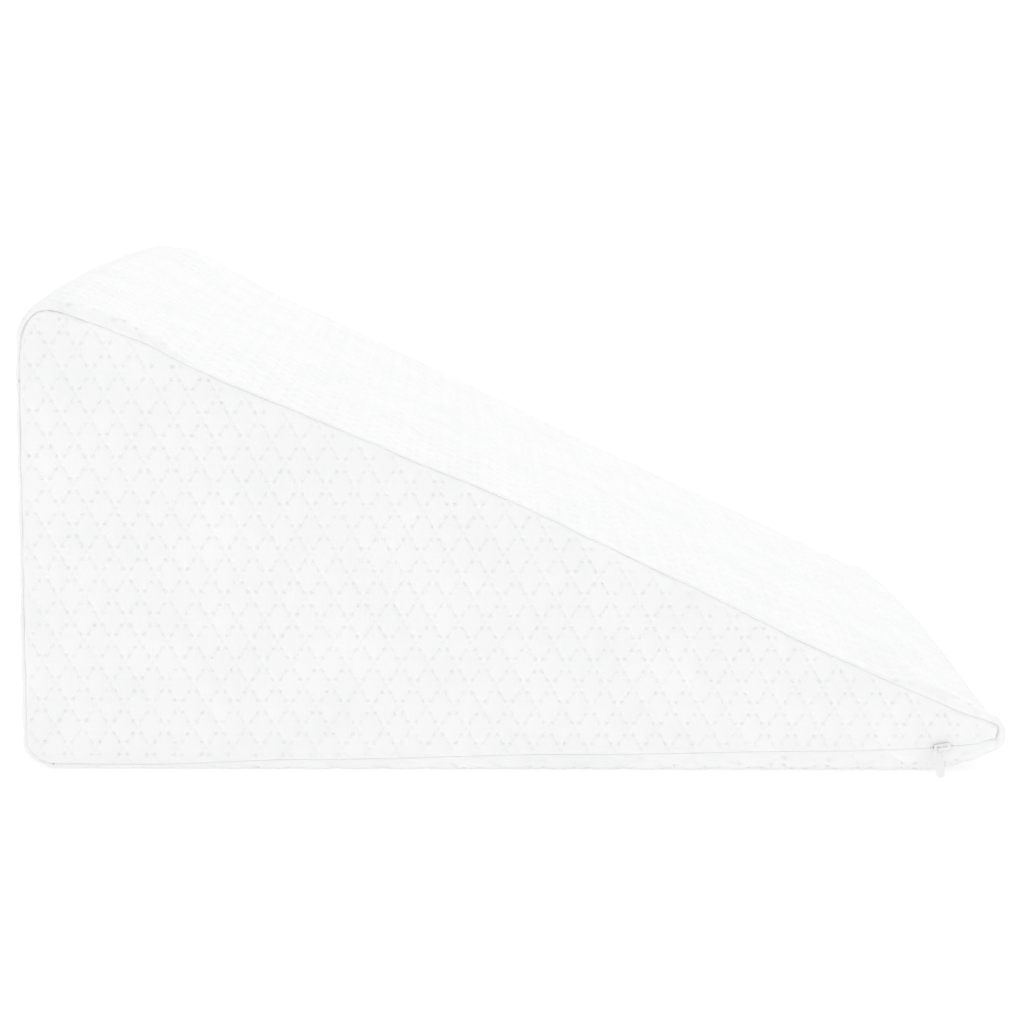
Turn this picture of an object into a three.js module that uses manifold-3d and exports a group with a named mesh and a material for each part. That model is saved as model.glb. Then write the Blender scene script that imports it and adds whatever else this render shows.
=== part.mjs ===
// A foam wedge pillow that raises the legs, in a quilted knit cover, with a concealed zip.
// Millimetres, +Z up. The wedge stands on its base, its tall back towards -X and its thin nose
// towards +X. The origin is the centre of the base. The zip runs along the foot of the -Y side.
import * as THREE from 'three';
import { mergeVertices } from 'three/addons/utils/BufferGeometryUtils.js';
import Module from 'manifold-3d';

const wasm = await Module();
wasm.setup();

const { clamp, lerp, smoothstep, degToRad } = THREE.MathUtils;

// Driving sizes of the wedge
const LENGTH = 640;
const WIDTH = 500;
const BACK_HEIGHT = 318;
const BACK_LEAN = 3;
const NOSE_HEIGHT = 33;
const NOSE_LIFT = 16;
const NOSE_REACH = 42;

// Swelling of the filled panels, and the seams that hold their edges in
const SIDE_CROWN = 4.5;
const SWELL_REACH = 110;
const ROLL_SHARE = 0.45;
const LEAST_ROLL = 3;
const MOST_ROLL = 6;
const LEAST_LIP = 0.4;
const SEWN_SEAM = { half: 1.2, depth: 1.6 };
const ZIP_SLIT = { half: 2.4, depth: 5.5 };

// Zip parts
const CLEARANCE = 0.3;
const CHAIN_HEIGHT = 2.4;
const CHAIN_THICKNESS = 1.4;
const CHAIN_BACK_GAP = 0.35;
const SLIDER_FROM_NOSE = 44;
const SLIDER_LENGTH = 11;
const SLIDER_HEIGHT = 4.8;
const SLIDER_THICKNESS = 2;
const NECK_LENGTH = 8;
const NECK_HEIGHT = 2.4;
const BRIDGE_BAR = 1;
const BRIDGE_CLEAR = 3.5;
const BRIDGE_WIDTH = 1.4;
const BRIDGE_LEFT = -3.1;
const BRIDGE_RIGHT = 2.6;
const PULL_LENGTH = 21.5;
const PULL_WIDTH = 5.2;
const PULL_THICKNESS = 1;
const PULL_EYE_WIDTH = 2.6;
const PULL_EYE_LENGTH = 4.2;
const PULL_RIM = 1.1;
const EYE_CLEARANCE = 0.38;
const PULL_STAND = 0.57;
const PULL_FLOOR_GAP = 0.8;

const HALF_LENGTH = LENGTH / 2;
const SEAM_Y = WIDTH / 2 - SIDE_CROWN;
const CHAIN_FRONT = ZIP_SLIT.depth - CHAIN_BACK_GAP - CHAIN_THICKNESS;

// The section's sharp corners, rounded by their radius, and the edge that follows each one.
// Going round from the rear foot the section lies on the left hand.
const SECTION = [
  { corner: 'rear foot', x: -HALF_LENGTH, z: 0, radius: 20, arcSteps: 4,
    edge: 'base', edgeSteps: 13, crown: 0 },
  { corner: 'front heel', x: HALF_LENGTH - NOSE_REACH, z: 0, radius: 90, arcSteps: 3,
    edge: 'underside', edgeSteps: 2, crown: 0 },
  { corner: 'nose foot', x: HALF_LENGTH, z: NOSE_LIFT, radius: 12, arcSteps: 4,
    edge: 'nose', edgeSteps: 1, crown: 0 },
  { corner: 'nose top', x: HALF_LENGTH, z: NOSE_HEIGHT, radius: 12, arcSteps: 4,
    edge: 'slope', edgeSteps: 24, crown: 4 },
  { corner: 'rear top', x: -HALF_LENGTH + BACK_LEAN, z: BACK_HEIGHT, radius: 27, arcSteps: 6,
    edge: 'back', edgeSteps: 8, crown: 3 },
];

// Where each side panel's seam runs: its distance in from the section's outline, and how far the
// outline itself swells (+) or sinks (-) beside it. "along" is the share of the stretch passed.
const NEAR_SEAM = [
  { stretch: 'base', along: 0.1, inset: 3.2, swell: 0 },
  { stretch: 'base', along: 0.3, inset: 7, swell: 0 },
  { stretch: 'base', along: 0.6, inset: 10.8, swell: 0 },
  { stretch: 'base', along: 0.9, inset: 13.8, swell: 0 },
  { stretch: 'front heel', along: 0.5, inset: 16, swell: 0 },
  { stretch: 'underside', along: 0.8, inset: 10, swell: 0 },
  { stretch: 'nose', along: 0.5, inset: 5.5, swell: -2.5 },
  { stretch: 'slope', along: 0, inset: 4.5, swell: -0.5 },
  { stretch: 'slope', along: 0.05, inset: 8.5, swell: 1.5 },
  { stretch: 'slope', along: 0.08, inset: 8, swell: 1 },
  { stretch: 'slope', along: 0.12, inset: 3, swell: -4.5 },
  { stretch: 'slope', along: 0.2, inset: 1.8, swell: -6 },
  { stretch: 'slope', along: 0.34, inset: 1.8, swell: -2.5 },
  { stretch: 'slope', along: 0.53, inset: 1.8, swell: 0 },
  { stretch: 'slope', along: 0.66, inset: 1.8, swell: -2.5 },
  { stretch: 'slope', along: 0.86, inset: 2.2, swell: -5.5 },
  { stretch: 'slope', along: 0.92, inset: 6, swell: 0 },
  { stretch: 'slope', along: 0.96, inset: 9.5, swell: 2 },
  { stretch: 'rear top', along: 0.1, inset: 7.5, swell: -2.1 },
  { stretch: 'rear top', along: 0.6, inset: 4, swell: -1.4 },
  { stretch: 'back', along: 0.08, inset: 2, swell: -1.2 },
  { stretch: 'rear foot', along: 0.5, inset: 2.6, swell: -0.8 },
];
const FAR_SEAM = [
  { stretch: 'base', along: 0.1, inset: 5, swell: 0 },
  { stretch: 'base', along: 0.6, inset: 8, swell: 0 },
  { stretch: 'front heel', along: 0.5, inset: 10, swell: 0 },
  { stretch: 'nose', along: 0.5, inset: 5.5, swell: 0 },
  { stretch: 'slope', along: 0.02, inset: 5.5, swell: -4.5 },
  { stretch: 'slope', along: 0.2, inset: 3, swell: -3 },
  { stretch: 'slope', along: 0.4, inset: 2.4, swell: -2 },
  { stretch: 'slope', along: 0.6, inset: 2, swell: 1.4 },
  { stretch: 'slope', along: 0.85, inset: 2.4, swell: 3.4 },
  { stretch: 'slope', along: 0.97, inset: 4, swell: 8.5 },
  { stretch: 'rear top', along: 0.15, inset: 6, swell: 2 },
  { stretch: 'rear top', along: 0.6, inset: 8, swell: -3 },
  { stretch: 'back', along: 0.1, inset: 2.4, swell: 0 },
  { stretch: 'rear foot', along: 0.5, inset: 3, swell: 0 },
];
const ZIP_STRETCHES = ['base', 'front heel', 'underside'];
const ZIP_START = 0.05;

// Shares of the way from the middle of a side panel to its seam, for the panel's rings
const PANEL_RINGS = [0.2, 0.45, 0.7, 0.9];
const ROLL_TURNS = [degToRad(30), degToRad(60), degToRad(90)];
const CROSS_RINGS = [-0.78, -0.5, -0.25, 0, 0.25, 0.5, 0.78];
const PANEL_MIDDLE = { x: -HALF_LENGTH * 0.32, z: BACK_HEIGHT * 0.34 };

// The rounded outline of corners {x, z, radius}, with the direction that leads in at each point,
// cut into named stretches: each corner's arc and the straight edge after it.
function roundedOutline(corners) {
  const turns = corners.map((corner, i) => {
    const before = corners[(i + corners.length - 1) % corners.length];
    const after = corners[(i + 1) % corners.length];
    const inward = new THREE.Vector2(corner.x - before.x, corner.z - before.z).normalize();
    const outward = new THREE.Vector2(after.x - corner.x, after.z - corner.z).normalize();
    const turn = Math.acos(inward.dot(outward));
    const cut = corner.radius * Math.tan(turn / 2);
    const at = new THREE.Vector2(corner.x, corner.z);
    return {
      turn,
      start: at.clone().addScaledVector(inward, -cut),
      end: at.clone().addScaledVector(outward, cut),
      heading: inward.angle(),
    };
  });
  const points = [];
  const stretches = {};
  let position = 0;
  corners.forEach((corner, i) => {
    const { turn, start, end, heading } = turns[i];
    const next = turns[(i + 1) % corners.length].start;
    const crownBefore = corners[(i + corners.length - 1) % corners.length].crown;
    const arcLength = turn * corner.radius;
    const side = new THREE.Vector2(-Math.sin(heading), Math.cos(heading));
    const centre = start.clone().addScaledVector(side, corner.radius);
    stretches[corner.corner] = { start: position, length: arcLength };
    for (let step = 0; step < corner.arcSteps; step++) {
      const share = step / corner.arcSteps;
      const angle = heading + turn * share;
      const into = new THREE.Vector2(-Math.sin(angle), Math.cos(angle));
      const at = centre.clone().addScaledVector(into, -corner.radius);
      const crown = lerp(crownBefore, corner.crown, smoothstep(share, 0, 1));
      points.push({ at, into, crown, position: position + arcLength * share, stretch: corner.corner });
    }
    position += arcLength;
    const edgeLength = end.distanceTo(next);
    const along = next.clone().sub(end).normalize();
    const into = new THREE.Vector2(-along.y, along.x);
    stretches[corner.edge] = { start: position, length: edgeLength };
    for (let step = 0; step < corner.edgeSteps; step++) {
      const share = step / corner.edgeSteps;
      const at = end.clone().lerp(next, share);
      const passed = position + edgeLength * share;
      points.push({ at, into, crown: corner.crown, position: passed, stretch: corner.edge });
    }
    position += edgeLength;
  });
  return { points, stretches, length: position };
}

const outline = roundedOutline(SECTION);

// A seam's inset and swell at a position round the section, eased from one row to the next
function seamAt(rows, position) {
  const placed = rows.map((row) => {
    const stretch = outline.stretches[row.stretch];
    return { ...row, position: stretch.start + stretch.length * row.along };
  });
  placed.sort((a, b) => a.position - b.position);
  const first = placed[0];
  const last = placed[placed.length - 1];
  placed.unshift({ ...last, position: last.position - outline.length });
  placed.push({ ...first, position: first.position + outline.length });
  const i = placed.findIndex((row) => row.position > position);
  const before = placed[i - 1];
  const after = placed[i];
  const share = smoothstep(position, before.position, after.position);
  return { inset: lerp(before.inset, after.inset, share), swell: lerp(before.swell, after.swell, share) };
}

// Share of the zip's slit at a point of the near seam: 1 along the zip, 0 on the sewn rest
function zipShare(point) {
  if (!ZIP_STRETCHES.includes(point.stretch)) return 0;
  const base = outline.stretches.base;
  return smoothstep(point.position, base.start, base.start + base.length * ZIP_START);
}

// Both seams with everything that the rings need, point by point round the section
const seams = { near: NEAR_SEAM, far: FAR_SEAM };
const seamPoints = Object.fromEntries(Object.entries(seams).map(([side, rows]) => [
  side,
  outline.points.map((point) => {
    const { inset, swell } = seamAt(rows, point.position);
    const open = side === 'near' ? zipShare(point) : 0;
    const half = lerp(SEWN_SEAM.half, ZIP_SLIT.half, open);
    const depth = lerp(SEWN_SEAM.depth, ZIP_SLIT.depth, open);
    const lip = Math.max(inset - half, LEAST_LIP);
    const roll = clamp(lip * ROLL_SHARE, LEAST_ROLL, MOST_ROLL);
    return { ...point, inset, swell, half, depth, lip, roll };
  }),
]));

const outwards = (point, distance) => point.at.clone().addScaledVector(point.into, -distance);

// One ring beside a seam, "depth" behind the side panel's plane and "inset" in from the outline
function seamRing(side, insetOf, depthOf) {
  const sign = side === 'near' ? -1 : 1;
  return seamPoints[side].map((point) => {
    const at = outwards(point, point.swell - insetOf(point));
    return new THREE.Vector3(at.x, sign * (SEAM_Y - depthOf(point)), at.y);
  });
}

// From the middle of a side panel out to where its edge has rolled into the wrapping panels
function sideRings(side) {
  const sign = side === 'near' ? -1 : 1;
  const edge = seamRing(side, (p) => p.inset + p.half, () => 0);
  const panel = PANEL_RINGS.map((share) => edge.map((point) => new THREE.Vector3(
    lerp(PANEL_MIDDLE.x, point.x, share),
    sign * (SEAM_Y + SIDE_CROWN * (1 - share * share)),
    lerp(PANEL_MIDDLE.z, point.z, share),
  )));
  const slit = [
    seamRing(side, (p) => p.inset + p.half * 0.9, (p) => p.depth),
    seamRing(side, (p) => lerp(p.lip, p.inset, 0.1), (p) => p.depth),
    seamRing(side, (p) => p.lip, () => 0),
  ];
  const rolled = ROLL_TURNS.map((turn) => seamRing(
    side,
    (p) => p.lip * (1 - Math.sin(turn)),
    (p) => p.roll * (1 - Math.cos(turn)),
  ));
  return [...panel, edge, ...slit, ...rolled];
}

// One ring across the wrapping panels, crowned in the middle and swollen near the seams
function crossRing(share) {
  const y = share * SEAM_Y;
  const nearFade = smoothstep(SWELL_REACH - (SEAM_Y + y), 0, SWELL_REACH);
  const farFade = smoothstep(SWELL_REACH - (SEAM_Y - y), 0, SWELL_REACH);
  return outline.points.map((point, i) => {
    const swell = seamPoints.near[i].swell * nearFade + seamPoints.far[i].swell * farFade;
    const at = outwards(point, point.crown * (1 - share * share) + swell);
    return new THREE.Vector3(at.x, y, at.y);
  });
}

// A closed skin over rings of equal length, with a point at each end
function skin(rings, firstTip, lastTip) {
  const size = rings[0].length;
  const vertices = [firstTip, ...rings.flat(), lastTip];
  const at = (ring, i) => 1 + ring * size + (i % size);
  const index = [];
  for (let i = 0; i < size; i++) {
    index.push(0, at(0, i), at(0, i + 1));
    index.push(vertices.length - 1, at(rings.length - 1, i + 1), at(rings.length - 1, i));
  }
  for (let ring = 0; ring < rings.length - 1; ring++) {
    for (let i = 0; i < size; i++) {
      index.push(at(ring, i), at(ring + 1, i), at(ring, i + 1));
      index.push(at(ring, i + 1), at(ring + 1, i), at(ring + 1, i + 1));
    }
  }
  return closedGeometry(vertices.flatMap((v) => [v.x, v.y, v.z]), index);
}

function closedGeometry(positions, index) {
  const geometry = new THREE.BufferGeometry();
  geometry.setAttribute('position', new THREE.Float32BufferAttribute(positions, 3));
  geometry.setIndex(index);
  geometry.computeVertexNormals();
  return geometry;
}

// Joins closed geometries into one solid
function joined(geometries) {
  const solids = geometries.map((source) => {
    const plain = source.clone();
    plain.deleteAttribute('normal');
    plain.deleteAttribute('uv');
    const merged = mergeVertices(plain, 1e-4);
    return new wasm.Manifold(new wasm.Mesh({
      numProp: 3,
      vertProperties: merged.attributes.position.array,
      triVerts: Uint32Array.from(merged.index.array),
    }));
  });
  const mesh = solids.reduce((whole, solid) => whole.add(solid)).getMesh();
  return closedGeometry(mesh.vertProperties, Array.from(mesh.triVerts));
}

function wedgeCushion() {
  const near = sideRings('near');
  const far = sideRings('far').reverse();
  const across = CROSS_RINGS.map(crossRing);
  const tip = (sign) => new THREE.Vector3(PANEL_MIDDLE.x, sign * (SEAM_Y + SIDE_CROWN), PANEL_MIDDLE.z);
  return skin([...near, ...across, ...far], tip(-1), tip(1));
}

// The zip's chain: a flat strip at the bottom of the slit, as long as the zip
function zipChain() {
  const stations = seamPoints.near.filter((point) => zipShare(point) === 1);
  const corners = stations.map((point) => {
    const low = outwards(point, CHAIN_HEIGHT / 2 - point.inset);
    const high = outwards(point, -CHAIN_HEIGHT / 2 - point.inset);
    const [outer, inner] = [CHAIN_FRONT - SEAM_Y, CHAIN_FRONT + CHAIN_THICKNESS - SEAM_Y];
    return [
      [low.x, outer, low.y],
      [high.x, outer, high.y],
      [high.x, inner, high.y],
      [low.x, inner, low.y],
    ];
  });
  const index = [];
  const last = (corners.length - 1) * 4;
  for (let station = 0; station < last; station += 4) {
    for (let side = 0; side < 4; side++) {
      const [a, b] = [station + side, station + (side + 1) % 4];
      index.push(a, a + 4, b, b, a + 4, b + 4);
    }
  }
  index.push(0, 1, 2, 0, 2, 3);
  index.push(last, last + 2, last + 1, last, last + 3, last + 2);
  return closedGeometry(corners.flat(2), index);
}

// A flat shape with rounded corners, in x and y
function roundedShape(rows, ShapeType = THREE.Shape) {
  const corners = rows.map(({ x, y, radius }, i) => ({
    corner: `corner ${i}`, x, z: y, radius, arcSteps: 4, edge: `edge ${i}`, edgeSteps: 1, crown: 0,
  }));
  return new ShapeType(roundedOutline(corners).points.map((point) => point.at));
}

function rectangle(left, right, bottom, top, radius) {
  return [
    { x: left, y: bottom, radius },
    { x: right, y: bottom, radius },
    { x: right, y: top, radius },
    { x: left, y: top, radius },
  ];
}

function extruded(shape, depth, bevel) {
  return new THREE.ExtrudeGeometry(shape, {
    depth: depth - 2 * bevel,
    bevelEnabled: bevel > 0,
    bevelThickness: bevel,
    bevelSize: bevel,
    bevelOffset: -bevel,
    bevelSegments: 2,
  }).translate(0, 0, bevel);
}

// The slider, lying along x with its back on the slit: shield-shaped body, neck into the slit, and
// the bridge that carries the pull. z points away from the cushion, from the side panel's edge.
function zipSlider() {
  const half = SLIDER_LENGTH / 2;
  const body = extruded(roundedShape([
    { x: -half, y: -SLIDER_HEIGHT * 0.38, radius: 1.2 },
    { x: half, y: -SLIDER_HEIGHT / 2, radius: 1.4 },
    { x: half, y: SLIDER_HEIGHT / 2, radius: 1.4 },
    { x: -half, y: SLIDER_HEIGHT * 0.38, radius: 1.2 },
  ]), SLIDER_THICKNESS, 0.4).translate(0, 0, CLEARANCE);
  const neckReach = CHAIN_FRONT - CLEARANCE;
  const neckDepth = neckReach + CLEARANCE + SLIDER_THICKNESS / 2;
  const neck = new THREE.BoxGeometry(NECK_LENGTH, NECK_HEIGHT, neckDepth)
    .translate(0, 0, neckDepth / 2 - neckReach);
  const bodyTop = CLEARANCE + SLIDER_THICKNESS;
  const bridgeTop = bodyTop + BRIDGE_CLEAR + BRIDGE_BAR;
  const bridgeShape = roundedShape(rectangle(
    BRIDGE_LEFT - BRIDGE_BAR / 2, BRIDGE_RIGHT + BRIDGE_BAR / 2, bodyTop - BRIDGE_BAR, bridgeTop, 1.4,
  ));
  const [openLeft, openRight] = [BRIDGE_LEFT + BRIDGE_BAR / 2, BRIDGE_RIGHT - BRIDGE_BAR / 2];
  const opening = rectangle(openLeft, openRight, bodyTop - BRIDGE_BAR / 2, bridgeTop - BRIDGE_BAR, 0.7);
  bridgeShape.holes.push(roundedShape(opening, THREE.Path));
  const bridge = new THREE.ExtrudeGeometry(bridgeShape, { depth: BRIDGE_WIDTH, bevelEnabled: false })
    .translate(0, 0, -BRIDGE_WIDTH / 2)
    .rotateX(Math.PI / 2);
  return joined([body, neck, bridge]);
}

// The pull, lying in x and y with its eye's bridge leg at the origin and its free end towards -y
function zipPull(lean) {
  const legInEye = (BRIDGE_WIDTH / 2 + EYE_CLEARANCE) / Math.cos(lean);
  const eyeTop = legInEye + PULL_THICKNESS / 2 * Math.tan(lean);
  const top = eyeTop + PULL_RIM;
  const plate = roundedShape([
    { x: -PULL_WIDTH / 2, y: top - PULL_LENGTH, radius: 2 },
    { x: PULL_WIDTH / 2, y: top - PULL_LENGTH, radius: 2 },
    { x: PULL_WIDTH / 2, y: top, radius: 1.6 },
    { x: -PULL_WIDTH / 2, y: top, radius: 1.6 },
  ]);
  const eye = rectangle(-PULL_EYE_WIDTH / 2, PULL_EYE_WIDTH / 2, eyeTop - PULL_EYE_LENGTH, eyeTop, 0.7);
  plate.holes.push(roundedShape(eye, THREE.Path));
  return new THREE.ExtrudeGeometry(plate, { depth: PULL_THICKNESS, bevelEnabled: false })
    .translate(0, 0, -PULL_THICKNESS / 2);
}

// The seam's own point and direction at a distance from the nose, measured along x
function zipLineAt(x) {
  const line = seamPoints.near
    .filter((point) => ZIP_STRETCHES.includes(point.stretch))
    .map((point) => outwards(point, -point.inset));
  const i = line.findIndex((point) => point.x > x);
  const [before, after] = [line[i - 1], line[i]];
  return {
    z: lerp(before.y, after.y, (x - before.x) / (after.x - before.x)),
    angle: Math.atan2(after.y - before.y, after.x - before.x),
  };
}

const coverMaterial = new THREE.MeshStandardMaterial({ color: 0xf6f6f6, roughness: 0.95, metalness: 0 });
const chainMaterial = new THREE.MeshStandardMaterial({ color: 0xe9e9e9, roughness: 0.6, metalness: 0 });
const sliderMaterial = new THREE.MeshStandardMaterial({ color: 0xf0f0f0, roughness: 0.35, metalness: 0 });
const pullMaterial = new THREE.MeshStandardMaterial({ color: 0xf0f0f0, roughness: 0.35, metalness: 0 });

function named(name, geometry, material) {
  const mesh = new THREE.Mesh(geometry, material);
  mesh.name = name;
  return mesh;
}

const group = new THREE.Group();
group.name = 'leg_pillow';
group.add(named('wedge_cushion', wedgeCushion(), coverMaterial));
group.add(named('zip_chain', zipChain(), chainMaterial));

// The slider's group turns its z away from the cushion's near side
const sliderX = HALF_LENGTH - SLIDER_FROM_NOSE;
const zipLine = zipLineAt(sliderX);
const zipEnd = new THREE.Group();
zipEnd.position.set(sliderX, -SEAM_Y, zipLine.z);
zipEnd.rotation.x = Math.PI / 2;
group.add(zipEnd);

const slider = named('zip_slider', zipSlider(), sliderMaterial);
slider.rotation.z = zipLine.angle;
zipEnd.add(slider);

// The pull hangs from the bridge's leg and leans out until its end just clears the floor
const hangingLength = PULL_LENGTH - PULL_RIM - BRIDGE_WIDTH;
const pullLean = Math.acos((zipLine.z - PULL_FLOOR_GAP) / hangingLength);
const pull = named('zip_pull', zipPull(pullLean), pullMaterial);
const pullStand = CLEARANCE + SLIDER_THICKNESS + BRIDGE_CLEAR * PULL_STAND;
pull.position.set(BRIDGE_LEFT, BRIDGE_LEFT * Math.sin(zipLine.angle), pullStand);
pull.rotation.x = -pullLean;
zipEnd.add(pull);

export default group;
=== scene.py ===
import math

import bmesh
import bpy
import numpy as np
from mathutils import Matrix, Vector
from mathutils.geometry import delaunay_2d_cdt
from mathutils.kdtree import KDTree


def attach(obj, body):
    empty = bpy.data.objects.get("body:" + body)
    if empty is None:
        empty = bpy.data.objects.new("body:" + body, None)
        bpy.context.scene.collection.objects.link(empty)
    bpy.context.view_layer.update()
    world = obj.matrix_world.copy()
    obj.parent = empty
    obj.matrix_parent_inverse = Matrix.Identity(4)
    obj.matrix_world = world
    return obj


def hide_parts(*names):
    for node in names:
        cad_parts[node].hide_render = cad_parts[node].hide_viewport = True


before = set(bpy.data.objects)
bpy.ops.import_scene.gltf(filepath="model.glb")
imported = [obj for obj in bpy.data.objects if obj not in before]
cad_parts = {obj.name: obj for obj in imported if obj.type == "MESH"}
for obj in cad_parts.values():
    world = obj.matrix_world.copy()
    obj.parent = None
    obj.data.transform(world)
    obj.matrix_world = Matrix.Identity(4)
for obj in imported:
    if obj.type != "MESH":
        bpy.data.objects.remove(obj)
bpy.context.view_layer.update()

# Lengths are in millimetres, and a mesh is turned into metres when it is made
MM = 0.001

# Driving sizes of the wedge, as in the frame
LENGTH = 640
WIDTH = 500
BACK_HEIGHT = 318
BACK_LEAN = 3
NOSE_HEIGHT = 33
NOSE_LIFT = 16
NOSE_REACH = 42
SIDE_CROWN = 4.5
HALF_LENGTH = LENGTH / 2
SEAM_Y = WIDTH / 2 - SIDE_CROWN

# The side panels' middle, near the centre of their area, as shares of half the length and the height
MIDDLE_SHARES = (-0.32, 0.34)
PANEL_MIDDLE = np.array([HALF_LENGTH * MIDDLE_SHARES[0], BACK_HEIGHT * MIDDLE_SHARES[1]])

# How far in from a side the outline swells or sinks, the roll of the wrapping panels over the side
# seams, half the width of a seam's channel, and how far a sewn seam wanders
SWELL_REACH = 110
ROLL_SHARE = 0.45
LEAST_ROLL = 3
MOST_ROLL = 6
LEAST_LIP = 0.4
SEWN_HALF = 1.2
ZIP_HALF = 1.8
SEAM_WANDER = 0.35

# The section's sharp corners with their radius, and the edge that follows each one. Going round
# from the rear foot the section lies on the left hand.
SECTION = [
    {"corner": "rear foot", "x": -HALF_LENGTH, "z": 0, "radius": 20, "edge": "base", "crown": 0},
    {"corner": "front heel", "x": HALF_LENGTH - NOSE_REACH, "z": 0, "radius": 90,
     "edge": "underside", "crown": 0},
    {"corner": "nose foot", "x": HALF_LENGTH, "z": NOSE_LIFT, "radius": 12, "edge": "nose", "crown": 0},
    {"corner": "nose top", "x": HALF_LENGTH, "z": NOSE_HEIGHT, "radius": 12, "edge": "slope", "crown": 4},
    {"corner": "rear top", "x": -HALF_LENGTH + BACK_LEAN, "z": BACK_HEIGHT, "radius": 27,
     "edge": "back", "crown": 3},
]

# Where each side panel's seam runs: its distance in from the section's outline, and how far the
# outline itself swells (+) or sinks (-) beside it. "along" is the share of the stretch passed.
# Columns: stretch, along, inset, swell
NEAR_SEAM = [
    ("base", 0.1, 3.2, 0),
    ("base", 0.3, 7, 0),
    ("base", 0.6, 10.8, 0),
    ("base", 0.9, 13.8, 0),
    ("front heel", 0.5, 16, 0),
    ("underside", 0.8, 10, 0),
    ("nose", 0.5, 5.5, -2.5),
    ("slope", 0, 4.5, -0.5),
    ("slope", 0.05, 8.5, 1.5),
    ("slope", 0.08, 8, 1),
    ("slope", 0.12, 3, -4.5),
    ("slope", 0.2, 1.8, -6),
    ("slope", 0.34, 1.8, -2.5),
    ("slope", 0.53, 1.8, 0),
    ("slope", 0.66, 1.8, -2.5),
    ("slope", 0.86, 2.2, -5.5),
    ("slope", 0.92, 6, 0),
    ("slope", 0.96, 9.5, 2),
    ("rear top", 0.1, 7.5, -2.1),
    ("rear top", 0.6, 4, -1.4),
    ("back", 0.08, 2, -1.2),
    ("rear foot", 0.5, 2.6, -0.8),
]
FAR_SEAM = [
    ("base", 0.1, 5, 0),
    ("base", 0.6, 8, 0),
    ("front heel", 0.5, 10, 0),
    ("nose", 0.5, 5.5, 0),
    ("slope", 0.02, 5.5, -4.5),
    ("slope", 0.2, 3, -3),
    ("slope", 0.4, 2.4, -2),
    ("slope", 0.6, 2, 1.4),
    ("slope", 0.85, 2.4, 3.4),
    ("slope", 0.97, 4, 8.5),
    ("rear top", 0.15, 6, 2),
    ("rear top", 0.6, 8, -3),
    ("back", 0.1, 2.4, 0),
    ("rear foot", 0.5, 3, 0),
]

# The zip runs from this share of the base to the underside's end, where it closes over this length
ZIP_START = 0.05
ZIP_CLOSING = 8

# How far the nose is drawn in, how that rises and falls going in from the near side, and the places
# round the section between which it grows and fades
NOSE_DENT = 3.6
DENT_RISE = 35
DENT_FALL = (90, 290)
DENT_GROWS = (("underside", 0.6), ("nose", 0.5))
DENT_FADES = (("slope", 0.01), ("slope", 0.14))

# The places between which a seam starts and stops turning tightly
TIGHT_TURNS = [
    {"starts": (("underside", 0.8), ("nose", 0)), "stops": (("nose top", 1), ("slope", 0.03))},
    {"starts": (("slope", 0.97), ("rear top", 0.3)), "stops": (("rear top", 0.7), ("back", 0.08))},
]

# The waves that a seam's wandering is made of: how many go round the section, and their shifts
WANDER_WAVES = [
    {"count": 13, "seed_share": 1, "shift": 0},
    {"count": 29, "seed_share": 2.3, "shift": 1},
    {"count": 53, "seed_share": 4.1, "shift": 2},
]
WANDER_SEED = 3

# Quilting: diamonds of this size, their grooves meeting at crossings with four pits round each. The
# heights of the puffs and the depths of the pits vary from a least share by a range.
DIAMOND_WIDTH = 17.6
DIAMOND_HEIGHT = 28.6
DIAMOND_LEAN = 0.045
PUFF_HEIGHT = 1.15
PUFF_ROUNDNESS = 0.62
LEAST_PUFF = 0.82
PUFF_RANGE = 0.36
PIT_ALONG = 0.295
PIT_RADIUS = 1.6
PIT_DEPTH = 1.0
LEAST_PIT = 0.75
PIT_RANGE = 0.5
NECK_LENGTH = 3.2
NECK_WIDTH = 0.9
NECK_DEPTH = 0.7

# The points of a quilting cell: shares of its sides, and rings round each pit as (radius, points)
FINE_CELL = {
    "shares": (0, 0.055, 0.13, 0.25, 0.42, 0.58, 0.75, 0.87, 0.945),
    "rings": ((PIT_RADIUS * 0.42, 7), (PIT_RADIUS, 8)),
}
COARSE_CELL = {"shares": (0, 0.1, 0.3, 0.5, 0.7, 0.9), "rings": ((PIT_RADIUS * 0.85, 6),)}
PIT_CLEAR = 0.45
NO_DISTANCE = 1e-7


def smoothstep(value, low, high):
    share = np.clip((value - low) / (high - low), 0, 1)
    return share * share * (3 - 2 * share)


def lerp(first, last, share):
    return first + (last - first) * share


def unit(vector):
    return vector / np.linalg.norm(vector)


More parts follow.
